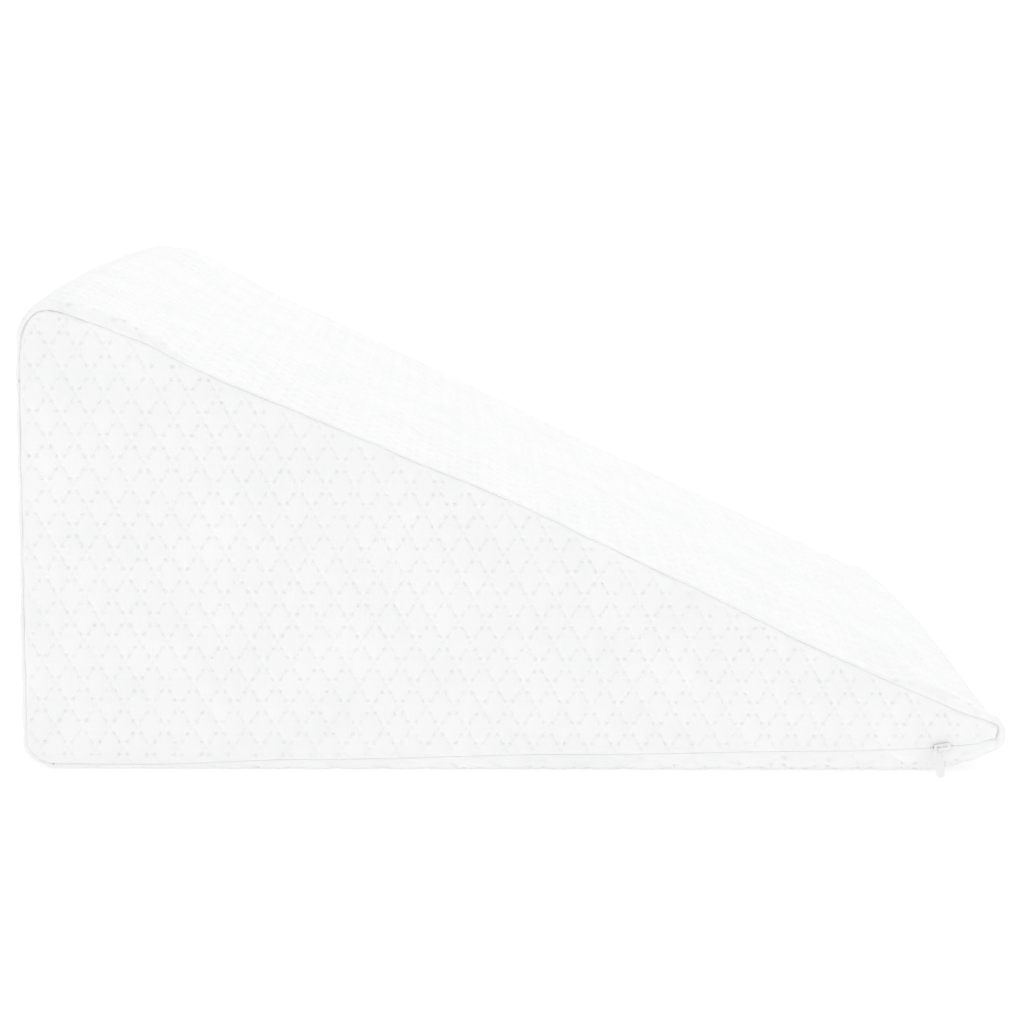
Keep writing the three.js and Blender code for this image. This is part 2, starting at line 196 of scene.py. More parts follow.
def rounded_outline(corners):
    """The outline's stretches by name: each corner's arc and the straight edge after it."""
    points = [np.array([corner["x"], corner["z"]], float) for corner in corners]
    turns = []
    for i, corner in enumerate(corners):
        inward = unit(points[i] - points[i - 1])
        outward = unit(points[(i + 1) % len(points)] - points[i])
        turn = math.acos(inward @ outward)
        cut = corner["radius"] * math.tan(turn / 2)
        heading = math.atan2(inward[1], inward[0])
        turns.append({"turn": turn, "heading": heading,
                      "start": points[i] - inward * cut, "end": points[i] + outward * cut})
    stretches = {}
    position = 0.0
    for i, corner in enumerate(corners):
        this = turns[i]
        following = turns[(i + 1) % len(turns)]["start"]
        side = np.array([-math.sin(this["heading"]), math.cos(this["heading"])])
        arc = this["turn"] * corner["radius"]
        stretches[corner["corner"]] = {
            "start": position, "length": arc, "heading": this["heading"], "turn": this["turn"],
            "radius": corner["radius"], "origin": this["start"] + side * corner["radius"],
            "crowns": (corners[i - 1]["crown"], corner["crown"]),
        }
        position += arc
        edge = np.linalg.norm(following - this["end"])
        stretches[corner["edge"]] = {
            "start": position, "length": edge, "heading": this["heading"] + this["turn"], "turn": 0,
            "radius": 0, "origin": this["end"], "crowns": (corner["crown"], corner["crown"]),
        }
        position += edge
    return stretches, position


STRETCHES, PERIMETER = rounded_outline(SECTION)


def place(stretch, along):
    """Position round the section at a share of a stretch."""
    return STRETCHES[stretch]["start"] + STRETCHES[stretch]["length"] * along


def section_at(position):
    """Points (x, z), inward directions (x, z) and crowns at positions round the section."""
    position = np.mod(position, PERIMETER)
    at = np.zeros(position.shape + (2,))
    into = np.zeros(position.shape + (2,))
    crown = np.zeros(position.shape)
    for stretch in STRETCHES.values():
        here = (position >= stretch["start"]) & (position < stretch["start"] + stretch["length"])
        passed = position[here] - stretch["start"]
        share = passed / stretch["length"]
        angle = stretch["heading"] + stretch["turn"] * share
        normal = np.stack([-np.sin(angle), np.cos(angle)], axis=-1)
        into[here] = normal
        if stretch["radius"]:
            at[here] = stretch["origin"] - normal * stretch["radius"]
        else:
            along = np.array([math.cos(stretch["heading"]), math.sin(stretch["heading"])])
            at[here] = stretch["origin"] + passed[:, None] * along
        crown[here] = lerp(*stretch["crowns"], smoothstep(share, 0, 1))
    return at, into, crown


def rise(position, places):
    """0 before the first of two places round the section, 1 after the second, smooth between."""
    return smoothstep(position, *(place(*at) for at in places))


def seam_curve(rows):
    """Places, insets and swells of a seam's rows, repeated once before and after the loop."""
    rows = sorted((place(stretch, along), inset, swell) for stretch, along, inset, swell in rows)
    places, insets, swells = np.array(rows, float).T
    repeated = np.concatenate([places - PERIMETER, places, places + PERIMETER])
    return repeated, np.tile(insets, 3), np.tile(swells, 3)


SEAM_CURVES = {-1: seam_curve(NEAR_SEAM), 1: seam_curve(FAR_SEAM)}


def slow_wave(position, seed):
    """A number from -1 to 1 that wanders slowly round the section."""
    turn = math.tau * position / PERIMETER
    waves = [np.sin(row["count"] * turn + row["seed_share"] * seed + row["shift"]) for row in WANDER_WAVES]
    return sum(waves) / len(waves)


def zip_share(position):
    """1 along the zip, 0 on the sewn rest of the near seam."""
    opened = rise(position, (("base", 0), ("base", ZIP_START)))
    closing = place("underside", 1)
    return opened * (1 - smoothstep(position, closing - ZIP_CLOSING, closing))


def seam_at(side, position):
    """The seam of the near (-1) or far (1) side: inset, swell, zip share, half width, lip and roll."""
    position = np.mod(position, PERIMETER)
    places, insets, swells = SEAM_CURVES[side]
    row = np.searchsorted(places, position, side="right") - 1
    share = smoothstep(position, places[row], places[row + 1])
    swell = lerp(swells[row], swells[row + 1], share)
    opened = zip_share(position) if side < 0 else np.zeros_like(position)
    wander = SEAM_WANDER * slow_wave(position, side + WANDER_SEED) * (1 - opened)
    inset = lerp(insets[row], insets[row + 1], share) + wander
    half = lerp(SEWN_HALF, ZIP_HALF, opened)
    lip = np.maximum(inset - half, LEAST_LIP)
    roll = np.clip(lip * ROLL_SHARE, LEAST_ROLL, MOST_ROLL)
    return {"inset": inset, "swell": swell, "zip": opened, "half": half, "lip": lip, "roll": roll}


def beside_seam(side, position, inset, depth):
    """Points at an inset from the outline and a depth behind the side panel's plane."""
    at, into, _ = section_at(position)
    seam = seam_at(side, position)
    flat = at + into * (inset - seam["swell"])[:, None]
    y = side * (SEAM_Y - depth) * np.ones(len(flat))
    return np.stack([flat[:, 0], y, flat[:, 1]], axis=-1)


# Half of the gap between two panels' edges: almost shut where they are sewn and at the zip, and
# wider round the slider's neck. Then how deep the edges' rims are pulled in.
SEWN_GAP = 0.06
ZIP_GAP = 0.02
NECK_GAP = 1.3
SLIDER_FROM_NOSE = 44
SLIDER_X = HALF_LENGTH - SLIDER_FROM_NOSE
NECK_LONG = 8
SLIDER_OPENING = 6
EDGE_DEPTH = {"sewn": 0.85, "zip": 0.4}
EDGE_UNEVEN = 0.45
CORNER_SINK = 1.1


def seam_gap(side, position):
    """Half of the gap between the two panels' edges."""
    seam = seam_at(side, position)
    seam_x = beside_seam(side, position, seam["inset"], 0)[:, 0]
    near_slider = 1 - smoothstep(np.abs(seam_x - SLIDER_X), NECK_LONG / 2, SLIDER_OPENING)
    at_zip = lerp(ZIP_GAP, NECK_GAP, near_slider)
    return lerp(SEWN_GAP, at_zip, seam["zip"])


def tight_corner(position):
    """1 at the nose and at the rear top, where the seam turns tightly, and 0 elsewhere."""
    return sum(rise(position, turn["starts"]) * (1 - rise(position, turn["stops"])) for turn in TIGHT_TURNS)


def edge_depth(side, position):
    """How deep a panel's rim is pulled in: unevenly where it is sewn, evenly at the zip."""
    deeper = 1 + EDGE_UNEVEN * slow_wave(position, side) + CORNER_SINK * tight_corner(position)
    sewn = EDGE_DEPTH["sewn"] * deeper
    return lerp(sewn, EDGE_DEPTH["zip"], seam_at(side, position)["zip"])


# How the turned-in edge goes on behind its outer rim: distance from the seam line and depth, where
# the seam is sewn and where it holds the zip
TUCK = [
    {"sewn": (0.8, 1.8), "zip": (1.6, 3.4)},
    {"sewn": (1.6, 2.6), "zip": (1.6, 5.7)},
    {"sewn": (2.4, 3.4), "zip": (1.6, 6.2)},
]


def tucked(side, position, outwards):
    """The rows of a turned-in edge. outwards is -1 for the wrapping panel's edge, 1 for the side's."""
    seam = seam_at(side, position)
    rows = []
    for row in TUCK:
        sewn_across, sewn_depth = row["sewn"]
        zip_across, zip_depth = row["zip"]
        across = lerp(sewn_across + outwards * SEWN_GAP, outwards * zip_across, seam["zip"])
        depth = lerp(sewn_depth, zip_depth, seam["zip"])
        rows.append(beside_seam(side, position, seam["inset"] + across, depth))
    return rows


OUTLINE_STEP = 2.0


def side_edge_radius():
    """The side panel's edge as distance from its middle by direction, for its crown."""
    radii = {}
    positions = np.arange(0, PERIMETER, OUTLINE_STEP)
    for side in (-1, 1):
        at, into, _ = section_at(positions)
        seam = seam_at(side, positions)
        edge = at + into * (seam["inset"] - seam["swell"] + seam["half"])[:, None] - PANEL_MIDDLE
        angle = np.arctan2(edge[:, 1], edge[:, 0])
        order = np.argsort(angle)
        radii[side] = (angle[order], np.linalg.norm(edge, axis=1)[order])
    return radii


SIDE_RADII = side_edge_radius()


def side_surface(side):
    """The crowned plane of a side panel. u runs to the right as seen from outside, w up."""
    angles, radii = SIDE_RADII[side]

    def surface(u, w):
        x = -side * u
        away = np.stack([x, w], axis=-1) - PANEL_MIDDLE
        angle = np.arctan2(away[..., 1], away[..., 0])
        edge = np.interp(angle, angles, radii, period=math.tau)
        share = np.minimum(np.linalg.norm(away, axis=-1) / edge, 1)
        return np.stack([x, side * (SEAM_Y + SIDE_CROWN * (1 - share * share)), w], axis=-1)

    return surface


def quarter_length(seam):
    """Length of cloth that rolls from a wrapping panel's flat to the side panel's plane."""
    return math.pi / 2 * np.sqrt((seam["lip"] ** 2 + seam["roll"] ** 2) / 2)


def wrap_reach(side, position):
    """Distance over the cloth from a wrapping panel's middle line to its edge at a side seam."""
    seam = seam_at(side, position)
    return SEAM_Y - seam["roll"] + quarter_length(seam) + seam["half"] - seam_gap(side, position)


def nose_dent(inwards, position):
    """How far the nose is drawn in, at a distance in from the near side."""
    across = smoothstep(inwards, 0, DENT_RISE) * (1 - smoothstep(inwards, *DENT_FALL))
    return NOSE_DENT * across * rise(position, DENT_GROWS) * (1 - rise(position, DENT_FADES))


def wrap_surface(v, s):
    """The wrapping panels: v runs over the cloth from side to side, s round the section."""
    shape = v.shape
    v, s = v.ravel(), s.ravel()
    at, into, crown = section_at(s)
    seams = {side: seam_at(side, s) for side in (-1, 1)}
    near = v < 0
    own = {key: np.where(near, seams[-1][key], seams[1][key]) for key in seams[1]}
    flat_end = SEAM_Y - own["roll"]
    quarter = quarter_length(own)
    beyond = np.abs(v) - flat_end
    turn = math.pi / 2 * (1 - np.clip(beyond / quarter, 0, 1))
    past = np.maximum(beyond - quarter, 0)
    on_flat = beyond < 0
    reach = np.where(on_flat, np.abs(v), SEAM_Y - own["roll"] * (1 - np.cos(turn)))
    inset = np.where(on_flat, 0, own["lip"] * (1 - np.sin(turn)) + past)
    y = np.sign(v) * reach
    near_fade = smoothstep(SWELL_REACH - (SEAM_Y + y), 0, SWELL_REACH)
    far_fade = smoothstep(SWELL_REACH - (SEAM_Y - y), 0, SWELL_REACH)
    swell = seams[-1]["swell"] * near_fade + seams[1]["swell"] * far_fade
    swell = swell - nose_dent(SEAM_Y + y, s)
    share = np.minimum(np.abs(v), flat_end) / flat_end
    out = crown * (1 - share * share) + swell - inset
    flat = at - into * out[:, None]
    return np.stack([flat[:, 0], y, flat[:, 1]], axis=-1).reshape(shape + (3,))


def normals_of(surface, u, w):
    """Outward directions of a surface given by two distances over the cloth."""
    step = 0.25
    across = surface(u + step, w) - surface(u - step, w)
    along = surface(u, w + step) - surface(u, w - step)
    normal = np.cross(across, along)
    return normal / np.linalg.norm(normal, axis=-1, keepdims=True)


# Large uneven factors that scatter whole pairs
SCATTER = {"i": 12.9898, "j": 78.233, "seed": 37.719, "spread": 43758.5453}


def hashed(i, j, seed):
    """An evenly spread number from 0 to 1 for each whole pair, the same on every run."""
    value = np.sin(i * SCATTER["i"] + j * SCATTER["j"] + seed * SCATTER["seed"]) * SCATTER["spread"]
    return value - np.floor(value)


def lattice(u, w):
    """Coordinates in which the quilting's grooves are at the whole numbers."""
    level = (u - DIAMOND_LEAN * w) / DIAMOND_WIDTH
    height = w / DIAMOND_HEIGHT
    return level + height, level - height


def off_lattice(a, b):
    """The place on the cloth of a point given by its lattice coordinates."""
    w = (a - b) / 2 * DIAMOND_HEIGHT
    u = (a + b) / 2 * DIAMOND_WIDTH + DIAMOND_LEAN * w
    return u, w


PIT_STEPS = ((PIT_ALONG, 0), (-PIT_ALONG, 0), (0, PIT_ALONG), (0, -PIT_ALONG))


def quilt_relief(u, w):
    """Height of the quilted cloth over its grooves."""
    a, b = lattice(u, w)
    cell_a, cell_b = np.floor(a), np.floor(b)
    swelling = np.sin(math.pi * (a - cell_a)) * np.sin(math.pi * (b - cell_b))
    uneven = LEAST_PUFF + PUFF_RANGE * hashed(cell_a, cell_b, 1)
    relief = PUFF_HEIGHT * uneven * np.clip(swelling, 0, 1) ** PUFF_ROUNDNESS
    cross_a, cross_b = np.round(a), np.round(b)
    for number, (step_a, step_b) in enumerate(PIT_STEPS):
        pit_u, pit_w = off_lattice(cross_a + step_a, cross_b + step_b)
        away = np.hypot(u - pit_u, w - pit_w) / PIT_RADIUS
        strength = LEAST_PIT + PIT_RANGE * hashed(cross_a, cross_b, 2 + number)
        relief -= PIT_DEPTH * strength * np.clip(1 - away * away, 0, 1) ** 2
    cross_u, cross_w = off_lattice(cross_a, cross_b)
    up = np.clip(1 - np.abs(w - cross_w) / NECK_LENGTH, 0, 1)
    relief -= NECK_DEPTH * up * np.exp(-((u - cross_u) / NECK_WIDTH) ** 2)
    return relief


def cell_points(cell):
    """Points of one quilting cell, as lattice coordinates from 0 to 1."""
    pits = [(a % 1, b % 1) for a, b in PIT_STEPS]
    around = pits + [(a + 1, b) for a, b in pits] + [(a, b + 1) for a, b in pits]
    clear = cell["rings"][-1][0] + PIT_CLEAR
    points = []
    for a in cell["shares"]:
        for b in cell["shares"]:
            gaps = [math.hypot(*off_lattice(a - pit_a, b - pit_b)) for pit_a, pit_b in around]
            if min(gaps) > clear:
                points.append((a, b))
    for pit_a, pit_b in pits:
        points.append((pit_a, pit_b))
        for radius, count in cell["rings"]:
            for step in range(count):
                angle = math.tau * (step + 0.5) / count
                da, db = lattice(radius * math.cos(angle), radius * math.sin(angle))
                points.append((pit_a + da, pit_b + db))
    return np.array(points)


def quilt_points(low, high, cell):
    """The quilting's points over a rectangle of cloth."""
    corners = [lattice(u, w) for u in (low[0], high[0]) for w in (low[1], high[1])]
    firsts = np.floor(np.min(corners, axis=0)).astype(int) - 1
    lasts = np.ceil(np.max(corners, axis=0)).astype(int) + 1
    cells_a, cells_b = np.meshgrid(np.arange(firsts[0], lasts[0]), np.arange(firsts[1], lasts[1]))
    cells = np.stack([cells_a.ravel(), cells_b.ravel()], axis=-1)
    spread = cells[:, None, :] + cell_points(cell)[None, :, :]
    u, w = off_lattice(spread[..., 0].ravel(), spread[..., 1].ravel())
    inside = (u > low[0]) & (u < high[0]) & (w > low[1]) & (w < high[1])
    return np.stack([u[inside], w[inside]], axis=-1)


def triangulated(loop, inside):
    """Triangles over the area within a loop, whose points come first, and through the points in it."""
    points = [Vector(point) for point in np.vstack([loop, inside]).tolist()]
    found = delaunay_2d_cdt(points, [], [list(range(len(loop)))], 1, NO_DISTANCE)
    source = np.array([origin[0] for origin in found[3]])
    return source[np.array(found[2])]


def distance_to(loop, points):
    """Distance from each point to the nearest of a loop's points."""
    tree = KDTree(len(loop))
    for i, (u, w) in enumerate(loop.tolist()):
        tree.insert((u, w, 0), i)
    tree.balance()
    return np.array([tree.find((u, w, 0))[2] for u, w in points.tolist()])


def within(loop, points):
    """True for the points that lie inside a loop."""
    inside = np.zeros(len(points), bool)
    ends = np.roll(loop, -1, axis=0)
    for (u0, w0), (u1, w1) in zip(loop.tolist(), ends.tolist()):
        if w0 == w1:
            continue
        crosses = (points[:, 1] > min(w0, w1)) & (points[:, 1] <= max(w0, w1))
        level = u0 + (points[:, 1] - w0) / (w1 - w0) * (u1 - u0)
        inside ^= crosses & (points[:, 0] < level)
    return inside


def new_object(name, data):
    thing = bpy.data.objects.new(name, data)
    bpy.context.collection.objects.link(thing)
    return thing


def new_piece(name, vertices, faces):
    """A smooth object from points in millimetres."""
    mesh = bpy.data.meshes.new(name)
    mesh.from_pydata((np.asarray(vertices) * MM).tolist(), [], faces)
    mesh.shade_smooth()
    return new_object(name, mesh)


# Rows of points beside a panel's edge, as shares of its rounding and of the strip after it
ROUNDING_ROWS = (0.12, 0.3, 0.5, 0.75, 1)
STRIP_ROWS = (0.14, 0.34, 0.62, 1)
STRIP = 5
SIDE_STRIP = 3
SIDE_TURN = 0.8
EDGE_SHARPNESS = 1.5

# The quilting grows between these distances from a seam, and no two points lie closer than this
QUILT_GROWS = (0.5, 3.2)
LEAST_SPACE = 0.6
JOINT_FADE = 4

# The padded form's hidden inner face lies this far behind its outer one
INNER_DEPTH = 4.4
TUCK_NARROWING = 0.35

# Share of the puffs' height that lies under the cloth's plane, and the cloth's slow unevenness
SETTLE = 0.5
SLOW_HEIGHT = 0.45
SLOW_FADE = 40

# The lengths of the slow swells along the cloth and up it, and of what bends or slants them
BROAD_SWELL = {"u": 31, "w": 38, "bend_u": 55, "bend_w": 47, "bend": 1.3, "shift": 1}
SMALL_SWELL = {"u": 19, "w": 23, "slant_u": 71, "slant_w": 43, "share": 0.5, "shift": 2}


def slow_relief(u, w):
    """Broad low swells, as padded cloth over foam has."""
    broad, small = BROAD_SWELL, SMALL_SWELL
    bend = broad["bend"] * np.sin(u / broad["bend_u"] + broad["shift"])
    first = np.sin(u / broad["u"] + np.sin(w / broad["bend_w"])) * np.sin(w / broad["w"] + bend)
    slanted = np.sin(u / small["u"] + w / small["slant_w"] + small["shift"])
    second = slanted * np.sin(w / small["w"] - u / small["slant_u"])
    return SLOW_HEIGHT * (first + small["share"] * second)


def cover_panel(name, edge, surface, cell):
    """One quilted panel as a closed padded form. edge holds its loop and the rows beside it."""
    loop = edge["loop"]
    count = len(loop)
    low, high = loop.min(axis=0), loop.max(axis=0)
    grid = quilt_points(low, high, cell)
    grid = grid[within(loop, grid)]
    grid = grid[distance_to(loop, grid) > LEAST_SPACE]
    grid_distance = distance_to(loop[edge["sewn"]], grid)
    kept = grid_distance > edge["clear"](grid)
    grid, grid_distance = grid[kept], grid_distance[kept]
    rows = edge["rows"] + [{"points": grid, "distance": grid_distance, "drop": np.zeros(len(grid))}]
    inside = np.vstack([row["points"] for row in rows])
    triangles = triangulated(loop, inside)
    flat = np.vstack([loop, inside])
    drop = np.concatenate([row["drop"] for row in [edge] + rows])
    distance = np.concatenate([row["distance"] for row in [edge] + rows])
    u, w = flat.T
    relief = (quilt_relief(u, w) - PUFF_HEIGHT * SETTLE) * smoothstep(distance, *QUILT_GROWS)
    relief += slow_relief(u, w) * smoothstep(distance, 0, SLOW_FADE)
    outer = surface(u, w) + normals_of(surface, u, w) * (relief - drop)[:, None]
    outer[:, 2] = np.maximum(outer[:, 2], 0)
    inner_points = quilt_free_grid(loop)
    inner_triangles = triangulated(loop, inner_points)
    inner = edge["inner"](*inner_points.T)
    tuck = np.vstack(edge["tuck"])
    starts = [0] + [len(outer) + count * row for row in range(len(edge["tuck"]))]
    ring = np.arange(count)
    after = np.roll(ring, -1)
    quads = []
    for first, last in zip(starts, starts[1:]):
        quads.append(np.stack([first + ring, last + ring, last + after, first + after], axis=-1))
    turned = np.where(inner_triangles < count, starts[-1] + inner_triangles,
                      len(outer) + len(tuck) + inner_triangles - count)
    faces = np.vstack([triangles, turned[:, ::-1]]).tolist() + np.vstack(quads).tolist()
    piece = new_piece(name, np.vstack([outer, tuck, inner]), faces)
    sharpen(piece.data, ring[~edge["sewn"]])
    keep_cloth_place(piece, np.vstack([flat, np.tile(loop, (len(edge["tuck"]), 1)), inner_points]))
    return piece


def sharpen(mesh, points):
    """Marks the edges between these points sharp, where a panel goes on in its neighbour."""
    ends = np.zeros(len(mesh.edges) * 2, int)
    mesh.edges.foreach_get("vertices", ends)
    marked = np.isin(ends.reshape(-1, 2), points).all(axis=1)
    sharp = mesh.attributes.new("sharp_edge", "BOOLEAN", "EDGE")
    sharp.data.foreach_set("value", marked)


def keep_cloth_place(piece, flat):
    """Stores each point's place on the cloth in metres, for the knit."""
    attribute = piece.data.attributes.new("cloth", "FLOAT_VECTOR", "POINT")
    values = np.zeros((len(flat), 3))
    values[:, :2] = flat * MM
    attribute.data.foreach_set("vector", values.ravel())


def quilt_free_grid(loop, step=24, margin=14):
    """Wide-spaced points for a panel's hidden inner face."""
    low, high = loop.min(axis=0), loop.max(axis=0)
    u, w = np.meshgrid(np.arange(low[0] + margin, high[0], step), np.arange(low[1] + margin, high[1], step))
    points = np.stack([u.ravel(), w.ravel()], axis=-1)
    points = points[within(loop, points)]
    return points[distance_to(loop, points) > margin]


def rounding_drop(distance, width, depth):
    """How far a panel's edge has turned in, at a distance from its rim."""
    share = np.clip(1 - distance / width, 0, 1)
    return depth * share ** EDGE_SHARPNESS


def row_distances(width, strip):
    """Distances from a rim to the rows of points beside it."""
    return [width * share for share in ROUNDING_ROWS] + [width + strip * share for share in STRIP_ROWS]


def side_edge(side, spacing):
    """The rim of a side panel, with the rows of points beside it."""
    positions = np.linspace(0, PERIMETER, round(PERIMETER / spacing), endpoint=False)
    if side > 0:
        positions = positions[::-1]
    seam = seam_at(side, positions)
    gap = seam_gap(side, positions)
    depth = edge_depth(side, positions)
    width = seam["half"] - gap + SIDE_TURN
    zeros = np.zeros(len(positions))

    def ring(distance):
        solid = beside_seam(side, positions, seam["inset"] + gap + distance, 0)
        return np.stack([-side * solid[:, 0], solid[:, 2]], axis=-1)

    rows = []
    for distance in row_distances(width, SIDE_STRIP):
        rows.append({"points": ring(distance), "distance": distance,
                     "drop": rounding_drop(distance, width, depth)})
    surface = side_surface(side)

    def inner(u, w):
        points = surface(u, w)
        points[:, 1] -= side * INNER_DEPTH
        return points

    return {
        "loop": ring(zeros), "sewn": np.full(len(positions), True), "distance": zeros, "rows": rows,
        "drop": depth, "clear": lambda points: np.full(len(points), SIDE_TURN + ZIP_HALF + SIDE_STRIP),
        "tuck": tucked(side, positions, 1), "inner": inner,
    }


def rim_width(side, s):
    """How far from its rim at a side seam a wrapping panel starts to turn in."""
    return seam_at(side, s)["half"] - seam_gap(side, s)


def rim_distances(side, s):
    strip = np.minimum(quarter_length(seam_at(side, s)), STRIP)
    return row_distances(rim_width(side, s), strip)


def crossing(s, shrink, spacing):
    """Points over a wrapping panel from its near rim to its far one, with the rims' own rows."""
    at = np.array([s])
    near, far = (wrap_reach(side, at)[0] - shrink for side in (-1, 1))
    near_rows, far_rows = (np.array(rim_distances(side, at))[:, 0] for side in (-1, 1))
    first, last = near_rows[-1] - near, far - far_rows[-1]
    middle = np.linspace(first, last, round((last - first) / spacing))[1:-1]
    v = np.concatenate([near_rows - near, middle, (far - far_rows)[::-1]])
    return np.stack([v, np.full(len(v), s)], axis=-1)


def sunk(v, s, depth):
    """Points of the wrapping panels, moved in by a depth."""
    points = wrap_surface(v, s)
    _, into, _ = section_at(s)
    points[:, [0, 2]] += into * depth
    return points


def tucked_end(points):
    """The rows of a turned-in edge at a wrapping panel's end."""
    tucks = []
    for row in TUCK:
        depth = row["sewn"][1]
        moved = sunk(*points.T, depth)
        moved[:, 1] *= 1 - depth * TUCK_NARROWING / SEAM_Y
        tucks.append(moved)
    return tucks


def wrap_edge(start, end, spacing):
    """The rim of a wrapping panel. It is sewn at an end, or goes on there in its neighbour."""
    first = start["at"] + SEWN_GAP * start["sewn"]
    last = end["at"] - SEWN_GAP * end["sewn"]
    along = np.linspace(first, last, round((last - first) / spacing))
    start_end = crossing(first, 0, spacing)
    last_end = crossing(last, 0, spacing)[::-1]
    sides = {side: np.stack([side * wrap_reach(side, along), along], axis=-1) for side in (-1, 1)}
    loop = np.vstack([start_end, sides[1], last_end, sides[-1][::-1]])
    held = np.full(len(along), True)
    sewn = np.concatenate([np.full(len(start_end), start["sewn"]), held,
                           np.full(len(last_end), end["sewn"]), held])

    def from_sides(points):
        v, s = points.T
        return np.minimum(wrap_reach(-1, s) + v, wrap_reach(1, s) - v)

    def from_sewn_ends(s):
        to_start = s - first if start["sewn"] else np.full(s.shape, np.inf)
        to_end = last - s if end["sewn"] else np.full(s.shape, np.inf)
        return np.minimum(to_start, to_end)

    def drop_at(points, side_distance):
        """How far the rim is pulled in, at points at a distance from the side seams."""
        v, s = points.T
        depth = np.where(v < 0, edge_depth(-1, s), edge_depth(1, s))
        width = np.where(v < 0, rim_width(-1, s), rim_width(1, s))
        beside = rounding_drop(side_distance, width, depth)
        across = rounding_drop(from_sewn_ends(s), SEWN_HALF, EDGE_DEPTH["sewn"])
        across *= smoothstep(side_distance, 0, JOINT_FADE)
        return np.maximum(beside, across)

    rows = []

    def add_row(points, side_distance):
        distance = np.minimum(side_distance, from_sewn_ends(points[:, 1]))
        rows.append({"points": points, "distance": distance, "drop": drop_at(points, side_distance)})

    for side in (-1, 1):
        inner_along = along[1:-1]
        for distance in rim_distances(side, inner_along):
            clear = from_sewn_ends(inner_along) > distance
            v = side * (wrap_reach(side, inner_along) - distance)
            add_row(np.stack([v, inner_along], axis=-1)[clear], distance[clear])
    for end_row, inwards in ((start, 1), (end, -1)):
        if not end_row["sewn"]:
            continue
        rim = first if inwards > 0 else last
        for distance in row_distances(SEWN_HALF, SIDE_STRIP):
            points = crossing(rim + inwards * distance, distance, spacing)
            points = points[from_sides(points) > distance + LEAST_SPACE]
            add_row(points, from_sides(points))

    def clear(points):
        v, s = points.T
        near, far = (rim_distances(side, s)[-1] for side in (-1, 1))
        return np.where(v < 0, near, far) + LEAST_SPACE

    tucks = zip(tucked_end(start_end), tucked(1, along, -1),
                tucked_end(last_end), tucked(-1, along[::-1], -1))
    return {
        "loop": loop, "sewn": sewn, "rows": rows,
        "distance": np.maximum(np.minimum(from_sides(loop), from_sewn_ends(loop[:, 1])), 0),
        "drop": drop_at(loop, np.maximum(from_sides(loop), 0)),
        "clear": clear, "tuck": [np.vstack(parts) for parts in tucks],
        "inner": lambda v, s: sunk(v, s, INNER_DEPTH),
    }


# The zip's parts, as in the frame
CLEARANCE = 0.3
CHAIN_HEIGHT = 2.4
CHAIN_THICKNESS = 1.4
CHAIN_FRONT = 3.75
SLIDER_LENGTH = 11
SLIDER_HEIGHT = 4.8
SLIDER_THICKNESS = 2
NECK_HIGH = 2.4
BRIDGE_BAR = 1
BRIDGE_CLEAR = 3.5
BRIDGE_WIDTH = 1.4
BRIDGE_LEFT = -3.1
BRIDGE_RIGHT = 2.6
PULL_LENGTH = 21.5
PULL_WIDTH = 5.2
PULL_THICKNESS = 1
PULL_EYE_WIDTH = 2.6
PULL_EYE_LENGTH = 4.2
PULL_RIM = 1.1
EYE_CLEARANCE = 0.38
PULL_STAND = 0.57
PULL_FLOOR_GAP = 0.8

# The coil: two helices beside the chain's middle line, on a tape behind them
COIL_PITCH = 1.25
COIL_WIRE = 0.22
COIL_LIFTS = (-0.56, 0.56)
COIL_ACROSS = 0.42
COIL_DEEP = 0.38
COIL_STEPS = 6
COIL_SIDES = 4
COIL_BEHIND = CHAIN_THICKNESS * 0.42
TAPE_THICKNESS = 0.3
TAPE_STEPS = 160

# The height of the slider's narrow end as a share of the other's, the radii of the outlines'
# corners, and how far the edges are softened
SHIELD_TAPER = 0.76
ROUND = {
    "narrow end": 1.2, "wide end": 1.4, "neck": 1, "bridge": 1.4, "bridge opening": 0.7,
    "pull end": 2, "pull top": 1.6, "eye": 0.7,
}
SOFT = {"shield": 0.55, "neck": 0.2, "bridge": 0.3, "pull": 0.3}
SOFT_STEPS = 3

# How many places the zip line by the slider is read at, and its angle's reach either side
LINE_STEPS = 400
ANGLE_REACH = 5


def ring_faces(count, sides):
    """Quads between a count of rings, each of as many points as there are sides."""
    first = np.arange(count - 1)[:, None] * sides
    ring = np.arange(sides)
    after = np.roll(ring, -1)
    quads = np.stack([first + ring, first + after, first + sides + after, first + sides + ring], axis=-1)
    return quads.reshape(-1, 4)


def closed_tube(rings):
    """Points and faces of a tube through rings of points, with its ends closed."""
    count, sides = rings.shape[:2]
    quads = ring_faces(count, sides).tolist()
    ends = [list(range(sides))[::-1], [(count - 1) * sides + side for side in range(sides)]]
    return rings.reshape(-1, 3), quads + ends


def helix(centre, lift, turns):
    """A wire wound round a line that lies a lift above the centre's."""
    share = np.linspace(0, 1, turns * COIL_STEPS + 1)
    angle = math.tau * turns * share
    base, along, up, out = centre(share)
    raised = (lift + COIL_ACROSS * np.cos(angle))[:, None]
    deep = (COIL_DEEP * np.sin(angle))[:, None]
    hub = base + up * raised + out * deep
    radial = up * np.cos(angle)[:, None] + out * np.sin(angle)[:, None]
    rings = []
    for side in range(COIL_SIDES):
        turn = math.tau * side / COIL_SIDES
        rings.append(hub + COIL_WIRE * (radial * math.cos(turn) + along * math.sin(turn)))
    return closed_tube(np.stack(rings, axis=1))


